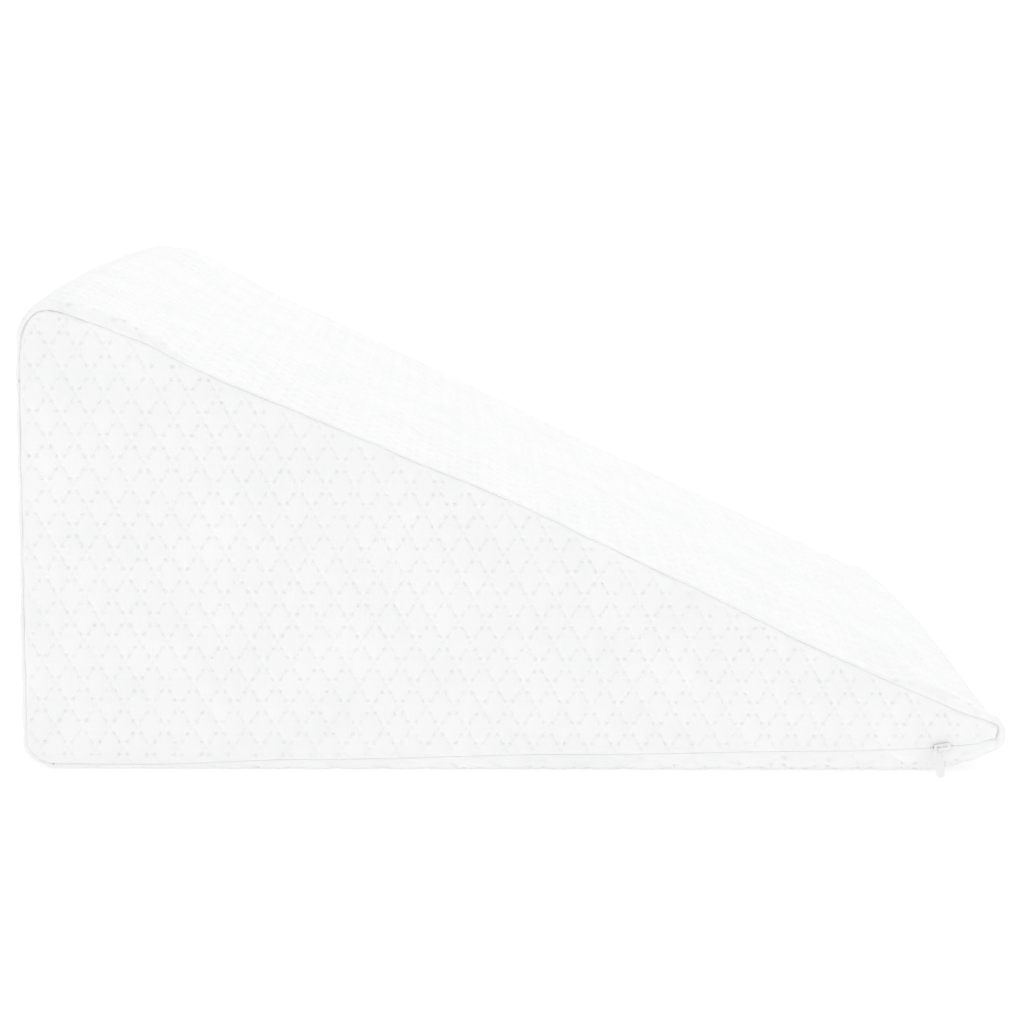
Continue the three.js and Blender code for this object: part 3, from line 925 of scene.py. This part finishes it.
def zip_coil():
    """The zip's chain: two rows of coil side by side on a narrow strip of tape."""
    first, last = place("base", ZIP_START), place("underside", 1)

    def centre(share):
        s = lerp(first, last, share)
        base = beside_seam(-1, s, seam_at(-1, s)["inset"], CHAIN_FRONT + COIL_BEHIND)
        along = np.gradient(base, axis=0)
        along /= np.linalg.norm(along, axis=1, keepdims=True)
        out = np.tile([0.0, -1.0, 0.0], (len(s), 1))
        return base, along, np.cross(out, along), out

    turns = round((last - first) / COIL_PITCH)
    vertices, faces = [], []
    base, _, up, out = centre(np.linspace(0, 1, TAPE_STEPS))
    half = CHAIN_HEIGHT / 2
    front, back = COIL_BEHIND, COIL_BEHIND + TAPE_THICKNESS
    corners = [(-half, back), (half, back), (half, front), (-half, front)]
    tape = closed_tube(np.stack([base + up * across - out * deep for across, deep in corners], axis=1))
    parts = [tape] + [helix(centre, lift, turns) for lift in COIL_LIFTS]
    for part, part_faces in parts:
        offset = sum(len(done) for done in vertices)
        vertices.append(part)
        faces += [tuple(offset + index for index in face) for face in part_faces]
    return new_piece("zip_coil", np.vstack(vertices), faces)


def rounded_loop(corners, steps=6):
    """Points of a flat outline whose corners (x, y, radius) are rounded, counter-clockwise."""
    points = []
    places = [np.array(corner[:2], float) for corner in corners]
    for i, (x, y, radius) in enumerate(corners):
        inward = unit(places[i] - places[i - 1])
        outward = unit(places[(i + 1) % len(places)] - places[i])
        turn = math.acos(inward @ outward)
        start = places[i] - inward * radius * math.tan(turn / 2)
        side = np.array([-inward[1], inward[0]])
        heading = math.atan2(inward[1], inward[0])
        for step in range(steps + 1):
            angle = heading + turn * step / steps
            points.append(start + side * radius - radius * np.array([-math.sin(angle), math.cos(angle)]))
    return points


def rounded_box(left, right, bottom, top, radius):
    return rounded_loop([(left, bottom, radius), (right, bottom, radius),
                         (right, top, radius), (left, top, radius)])


def plate(outline, holes, thickness, soft, matrix):
    """A mesh in metres of a flat plate with softened edges, centred on its own plane."""
    curve = bpy.data.curves.new("plate", "CURVE")
    curve.dimensions = "2D"
    curve.fill_mode = "BOTH"
    curve.extrude = (thickness / 2 - soft) * MM
    curve.bevel_depth = soft * MM
    curve.bevel_resolution = SOFT_STEPS
    curve.offset = -soft * MM
    for loop in [outline, *holes]:
        spline = curve.splines.new("POLY")
        spline.points.add(len(loop) - 1)
        for point, (x, y) in zip(spline.points, loop):
            point.co = (x * MM, y * MM, 0, 1)
        spline.use_cyclic_u = True
    holder = new_object("plate", curve)
    mesh = bpy.data.meshes.new_from_object(holder.evaluated_get(bpy.context.evaluated_depsgraph_get()))
    bpy.data.objects.remove(holder)
    mesh.transform(matrix)
    return mesh


def joined_piece(name, meshes):
    """One smooth object from meshes in metres."""
    work = bmesh.new()
    for mesh in meshes:
        work.from_mesh(mesh)
    bmesh.ops.remove_doubles(work, verts=work.verts, dist=NO_DISTANCE)
    mesh = bpy.data.meshes.new(name)
    work.to_mesh(mesh)
    work.free()
    mesh.shade_smooth()
    return new_object(name, mesh)


def zip_end():
    """Where the slider sits: its place on the side's plane, the zip line's height and its angle."""
    s = np.linspace(place("base", 0.9), place("underside", 1), LINE_STEPS)
    line = beside_seam(-1, s, seam_at(-1, s)["inset"], 0)
    z = float(np.interp(SLIDER_X, line[:, 0], line[:, 2]))
    low, high = np.interp([SLIDER_X - ANGLE_REACH, SLIDER_X + ANGLE_REACH], line[:, 0], line[:, 2])
    angle = math.atan2(high - low, 2 * ANGLE_REACH)
    at = Matrix.Translation(Vector((SLIDER_X, -SEAM_Y, z)) * MM)
    return at @ Matrix.Rotation(math.pi / 2, 4, "X"), z, angle


def slider_body():
    at, _, angle = zip_end()
    at = at @ Matrix.Rotation(angle, 4, "Z")
    half, high = SLIDER_LENGTH / 2, SLIDER_HEIGHT / 2
    low = high * SHIELD_TAPER
    shield = rounded_loop([(-half, -low, ROUND["narrow end"]), (half, -high, ROUND["wide end"]),
                           (half, high, ROUND["wide end"]), (-half, low, ROUND["narrow end"])])
    body_middle = CLEARANCE + SLIDER_THICKNESS / 2
    in_front = Matrix.Translation((0, 0, body_middle * MM))
    body = plate(shield, [], SLIDER_THICKNESS, SOFT["shield"], at @ in_front)
    neck_reach = CHAIN_FRONT - CLEARANCE
    neck_loop = rounded_box(-NECK_LONG / 2, NECK_LONG / 2, -NECK_HIGH / 2, NECK_HIGH / 2, ROUND["neck"])
    neck_depth = neck_reach + CLEARANCE + SLIDER_THICKNESS / 2
    neck_middle = neck_depth / 2 - neck_reach
    neck = plate(neck_loop, [], neck_depth, SOFT["neck"], at @ Matrix.Translation((0, 0, neck_middle * MM)))
    body_top = CLEARANCE + SLIDER_THICKNESS
    bridge_top = body_top + BRIDGE_CLEAR + BRIDGE_BAR
    bar = BRIDGE_BAR / 2
    outline = rounded_box(BRIDGE_LEFT - bar, BRIDGE_RIGHT + bar, body_top - BRIDGE_BAR, bridge_top,
                          ROUND["bridge"])
    opening = rounded_box(BRIDGE_LEFT + bar, BRIDGE_RIGHT - bar, body_top - bar, bridge_top - BRIDGE_BAR,
                          ROUND["bridge opening"])
    upright = Matrix.Rotation(math.pi / 2, 4, "X")
    bridge = plate(outline, [opening], BRIDGE_WIDTH, SOFT["bridge"], at @ upright)
    return joined_piece("slider_body", [body, neck, bridge])


def pull_tab():
    at, z, angle = zip_end()
    hanging = PULL_LENGTH - PULL_RIM - BRIDGE_WIDTH
    lean = math.acos((z - PULL_FLOOR_GAP) / hanging)
    stand = CLEARANCE + SLIDER_THICKNESS + BRIDGE_CLEAR * PULL_STAND
    leg_in_eye = (BRIDGE_WIDTH / 2 + EYE_CLEARANCE) / math.cos(lean)
    eye_top = leg_in_eye + PULL_THICKNESS / 2 * math.tan(lean)
    top = eye_top + PULL_RIM
    half = PULL_WIDTH / 2
    end, end_round, top_round = top - PULL_LENGTH, ROUND["pull end"], ROUND["pull top"]
    outline = rounded_loop([(-half, end, end_round), (half, end, end_round),
                            (half, top, top_round), (-half, top, top_round)])
    eye = rounded_box(-PULL_EYE_WIDTH / 2, PULL_EYE_WIDTH / 2, eye_top - PULL_EYE_LENGTH, eye_top,
                      ROUND["eye"])
    hung = at @ Matrix.Translation(Vector((BRIDGE_LEFT, BRIDGE_LEFT * math.sin(angle), stand)) * MM)
    tab = plate(outline, [eye], PULL_THICKNESS, SOFT["pull"], hung @ Matrix.Rotation(-lean, 4, "X"))
    return joined_piece("pull_tab", [tab])


# Camera at the photograph's angle, placed in the frame's metres
LENS = 76.1
SENSOR = 36
NEAREST = 0.05
CAMERA_AT = Vector((-0.0506, -1.5946, 0.4215))
CAMERA_YAW = math.radians(1.88)
CAMERA_PITCH = math.radians(-10.53)
CAMERA_ROLL = math.radians(0.766)


def make_camera():
    data = bpy.data.cameras.new("view")
    data.lens = LENS
    data.sensor_width = SENSOR
    data.clip_start = NEAREST
    camera = new_object("view", data)
    upright = Matrix.Rotation(math.pi / 2, 4, "X")
    pitch = Matrix.Rotation(CAMERA_PITCH, 4, "X")
    yaw = Matrix.Rotation(-CAMERA_YAW, 4, "Z")
    roll = Matrix.Rotation(CAMERA_ROLL, 4, "Z")
    camera.matrix_world = Matrix.Translation(CAMERA_AT) @ yaw @ pitch @ upright @ roll
    bpy.context.scene.camera = camera


WAVE = "ShaderNodeTexWave"
NOISE = "ShaderNodeTexNoise"

# The knit, with scales for a metre of cloth: its ribs, its rows, the yarn's fuzz and a slow tint
KNIT_SURFACE = {"Roughness": 0.92, "Specular IOR Level": 0.25, "Sheen Weight": 0.12, "Sheen Roughness": 0.5}
WALES = {"Scale": 310, "Distortion": 0.6, "Detail Scale": 2}
COURSES = {"Scale": 390, "Distortion": 0.9}
FUZZ = {"Scale": 900, "Detail": 3}
FUZZ_SHARE = 0.5
KNIT_BUMP = {"Strength": 0.5, "Distance": 0.0002}
BROAD_TINT = {"Scale": 22, "Detail": 4}
KNIT_TINT = {"dark": (0.905, 0.907, 0.91), "light": (0.94, 0.94, 0.94), "reach": (0.3, 0.7)}

# The zip's finishes, with scales for a metre
PLAIN_FINISHES = {
    "zip_plastic": {"colour": 0.82, "roughness": 0.5, "grain": 900, "depth": 0.0001},
    "slider_paint": {"colour": 0.88, "roughness": 0.32, "grain": 500, "depth": 0.00005},
}
GRAIN_DETAIL = 3
GRAIN_STRENGTH = 0.4
GRAIN_DARKENING = 0.96


def set_inputs(node, values):
    for name, value in values.items():
        node.inputs[name].default_value = value
    return node


def node_material(name, surface):
    """A material, its node tree and its shader, which is set to the surface's values."""
    material = bpy.data.materials.new(name)
    material.use_nodes = True
    tree = material.node_tree
    return material, tree, set_inputs(tree.nodes["Principled BSDF"], surface)


def pattern(tree, kind, place_on, values, bands=None):
    """A pattern over the given places. bands is the direction across a wave's."""
    node = set_inputs(tree.nodes.new(kind), values)
    if bands:
        node.bands_direction = bands
    tree.links.new(place_on, node.inputs["Vector"])
    return node.outputs["Fac"]


def maths(tree, operation, *terms):
    """What an operation makes of its terms, each of them a number or another node's output."""
    node = tree.nodes.new("ShaderNodeMath")
    node.operation = operation
    for socket, term in zip(node.inputs, terms):
        if isinstance(term, float):
            socket.default_value = term
        else:
            tree.links.new(term, socket)
    return node.outputs["Value"]


def add_tint(tree, shader, cloud, dark, light, reach=(0, 1)):
    """Colours a surface from dark to light over a reach of a cloudy pattern."""
    ramp = tree.nodes.new("ShaderNodeValToRGB")
    for element, position, colour in zip(ramp.color_ramp.elements, reach, (dark, light)):
        element.position = position
        element.color = (*colour, 1)
    tree.links.new(cloud, ramp.inputs["Fac"])
    tree.links.new(ramp.outputs["Color"], shader.inputs["Base Color"])


def add_bump(tree, shader, height, values):
    bump = set_inputs(tree.nodes.new("ShaderNodeBump"), values)
    tree.links.new(height, bump.inputs["Height"])
    tree.links.new(bump.outputs["Normal"], shader.inputs["Normal"])


def knit_material():
    """White double knit: fine ribs of stitches, soft sheen and a slightly uneven white."""
    material, tree, shader = node_material("cover_knit", KNIT_SURFACE)
    attribute = tree.nodes.new("ShaderNodeAttribute")
    attribute.attribute_name = "cloth"
    cloth = attribute.outputs["Vector"]
    wales = pattern(tree, WAVE, cloth, WALES, "X")
    courses = pattern(tree, WAVE, cloth, COURSES, "Y")
    stitches = maths(tree, "MULTIPLY", wales, courses)
    height = maths(tree, "MULTIPLY_ADD", pattern(tree, NOISE, cloth, FUZZ), FUZZ_SHARE, stitches)
    add_bump(tree, shader, height, KNIT_BUMP)
    add_tint(tree, shader, pattern(tree, NOISE, cloth, BROAD_TINT), **KNIT_TINT)
    return material


def plain_material(name):
    """A moulded or painted surface with a faint grain."""
    finish = PLAIN_FINISHES[name]
    material, tree, shader = node_material(name, {"Roughness": finish["roughness"]})
    place_on = tree.nodes.new("ShaderNodeTexCoord").outputs["Object"]
    grain = pattern(tree, NOISE, place_on, {"Scale": finish["grain"], "Detail": GRAIN_DETAIL})
    add_tint(tree, shader, grain, [finish["colour"] * GRAIN_DARKENING] * 3, [finish["colour"]] * 3)
    add_bump(tree, shader, grain, {"Strength": GRAIN_STRENGTH, "Distance": finish["depth"]})
    return material


# The studio: a round pale floor with a painted glow, sweeping up into a low wall, an even white sky and two
# soft lamps
FLOOR_FLAT = 4.2
FLOOR_SWEEP = 2.0
WALL_TOP = 3.4
FLOOR_DROP = 0.0003
FLOOR_RINGS = (0.5, 1.2, 2.4, FLOOR_FLAT)
FLOOR_SIDES = 96
SWEEP_STEPS = 12
WHITE = (1, 1, 1, 1)
# The floor's surface, whose white emission is a painted glow that lifts the cushion's shadows on the floor
# and lights the cushion from below; then that glow's strength on the floor and on the wall, and the distances
# between which it grows from one to the other
FLOOR_SURFACE = {
    "Base Color": (0.62, 0.62, 0.62, 1), "Roughness": 0.9, "Specular IOR Level": 0.1, "Emission Color": WHITE,
}
FLOOR_GLOW = 0.45
WALL_GLOW = 0.46
GLOW_REACH = (0.7, 2.6)
SKY_STRENGTH = 0.77
LAMP_AIM = Vector((0, 0, 0.12))
LAMPS = [
    {"name": "key", "at": (-1.7, -1.5, 2.3), "size": 1.4, "power": 6},
    {"name": "top", "at": (0.9, 0.4, 2.7), "size": 2.2, "power": 19},
]


def painted_glow_floor():
    """Matt white with a painted glow: emission that brightens it as a lit backdrop and lifts the shadows cast
    on it, a little more so further out.
    """
    finish, tree, shader = node_material("painted_glow_floor", FLOOR_SURFACE)
    away = tree.nodes.new("ShaderNodeVectorMath")
    away.operation = "LENGTH"
    tree.links.new(tree.nodes.new("ShaderNodeTexCoord").outputs["Object"], away.inputs[0])
    glow = tree.nodes.new("ShaderNodeMapRange")
    glow.interpolation_type = "SMOOTHSTEP"
    set_inputs(glow, {"From Min": GLOW_REACH[0], "From Max": GLOW_REACH[1],
                      "To Min": FLOOR_GLOW, "To Max": WALL_GLOW})
    tree.links.new(away.outputs["Value"], glow.inputs["Value"])
    tree.links.new(glow.outputs["Result"], shader.inputs["Emission Strength"])
    return finish


def make_floor():
    """A flat disc that sweeps up into a wall all round."""
    profile = [(radius, 0) for radius in FLOOR_RINGS]
    for step in range(1, SWEEP_STEPS + 1):
        angle = math.pi / 2 * step / SWEEP_STEPS
        profile.append((FLOOR_FLAT + FLOOR_SWEEP * math.sin(angle), FLOOR_SWEEP * (1 - math.cos(angle))))
    profile.append((FLOOR_FLAT + FLOOR_SWEEP, WALL_TOP))
    vertices = [(0, 0, -FLOOR_DROP)]
    for radius, z in profile:
        for step in range(FLOOR_SIDES):
            angle = math.tau * step / FLOOR_SIDES
            vertices.append((radius * math.cos(angle), radius * math.sin(angle), z - FLOOR_DROP))
    faces = [(0, 1 + step, 1 + (step + 1) % FLOOR_SIDES) for step in range(FLOOR_SIDES)]
    faces += (1 + ring_faces(len(profile), FLOOR_SIDES)[:, ::-1]).tolist()
    mesh = bpy.data.meshes.new("floor")
    mesh.from_pydata(vertices, [], faces)
    mesh.shade_smooth()
    mesh.materials.append(painted_glow_floor())
    floor = new_object("floor", mesh)


def make_studio():
    """The even sky, the floor and the lamps."""
    world = bpy.data.worlds.new("surround")
    bpy.context.scene.world = world
    world.use_nodes = True
    set_inputs(world.node_tree.nodes["Background"], {"Color": WHITE, "Strength": SKY_STRENGTH})
    make_floor()
    for row in LAMPS:
        data = bpy.data.lights.new(row["name"], "AREA")
        data.size = row["size"]
        data.energy = row["power"]
        lamp = new_object(row["name"], data)
        lamp.location = row["at"]
        lamp.rotation_euler = (LAMP_AIM - Vector(row["at"])).to_track_quat("-Z", "Y").to_euler()


def cover_piece(piece, material):
    piece.data.materials.append(material)
    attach(piece, "root")
    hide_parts("wedge_cushion")


make_camera()
make_studio()

# The spacing of points along the panels' rims, and the panels. The top goes on in the base under the
# nose: it is one length of cloth, in two meshes.
FINE_SPACING = 1.6
SPACING = 2.4
TOP_START = {"at": place("underside", 0.35), "sewn": False}
TOP_END = {"at": place("back", 0.1), "sewn": True}
REAR_FOOT = {"at": place("base", 0), "sewn": True}
BACK_FOOT = {"at": REAR_FOOT["at"] + PERIMETER, "sewn": True}
SIDE_PANELS = [
    {"name": "cover_side_near", "side": -1, "spacing": FINE_SPACING, "cell": FINE_CELL},
    {"name": "cover_side_far", "side": 1, "spacing": SPACING, "cell": COARSE_CELL},
]
WRAPPING_PANELS = [
    {"name": "cover_top", "start": TOP_START, "end": TOP_END},
    {"name": "cover_back", "start": TOP_END, "end": BACK_FOOT},
    {"name": "cover_base", "start": REAR_FOOT, "end": TOP_START},
]
knit = knit_material()
for row in SIDE_PANELS:
    rim = side_edge(row["side"], row["spacing"])
    cover_piece(cover_panel(row["name"], rim, side_surface(row["side"]), row["cell"]), knit)
for row in WRAPPING_PANELS:
    rim = wrap_edge(row["start"], row["end"], SPACING)
    cover_piece(cover_panel(row["name"], rim, wrap_surface, COARSE_CELL), knit)

zip_plastic = plain_material("zip_plastic")
slider_paint = plain_material("slider_paint")
ZIP_PIECES = [
    {"piece": zip_coil(), "node": "zip_chain", "slot": "zip_plastic", "material": zip_plastic},
    {"piece": slider_body(), "node": "zip_slider", "slot": "slider_paint", "material": slider_paint},
    {"piece": pull_tab(), "node": "zip_pull", "slot": "slider_paint", "material": slider_paint},
]
for row in ZIP_PIECES:
    row["piece"].data.materials.append(row["material"])
    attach(row["piece"], "root")
    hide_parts(row["node"])

scene_view = bpy.context.scene.view_settings
scene_view.view_transform = "Standard"
scene_view.look = "None"
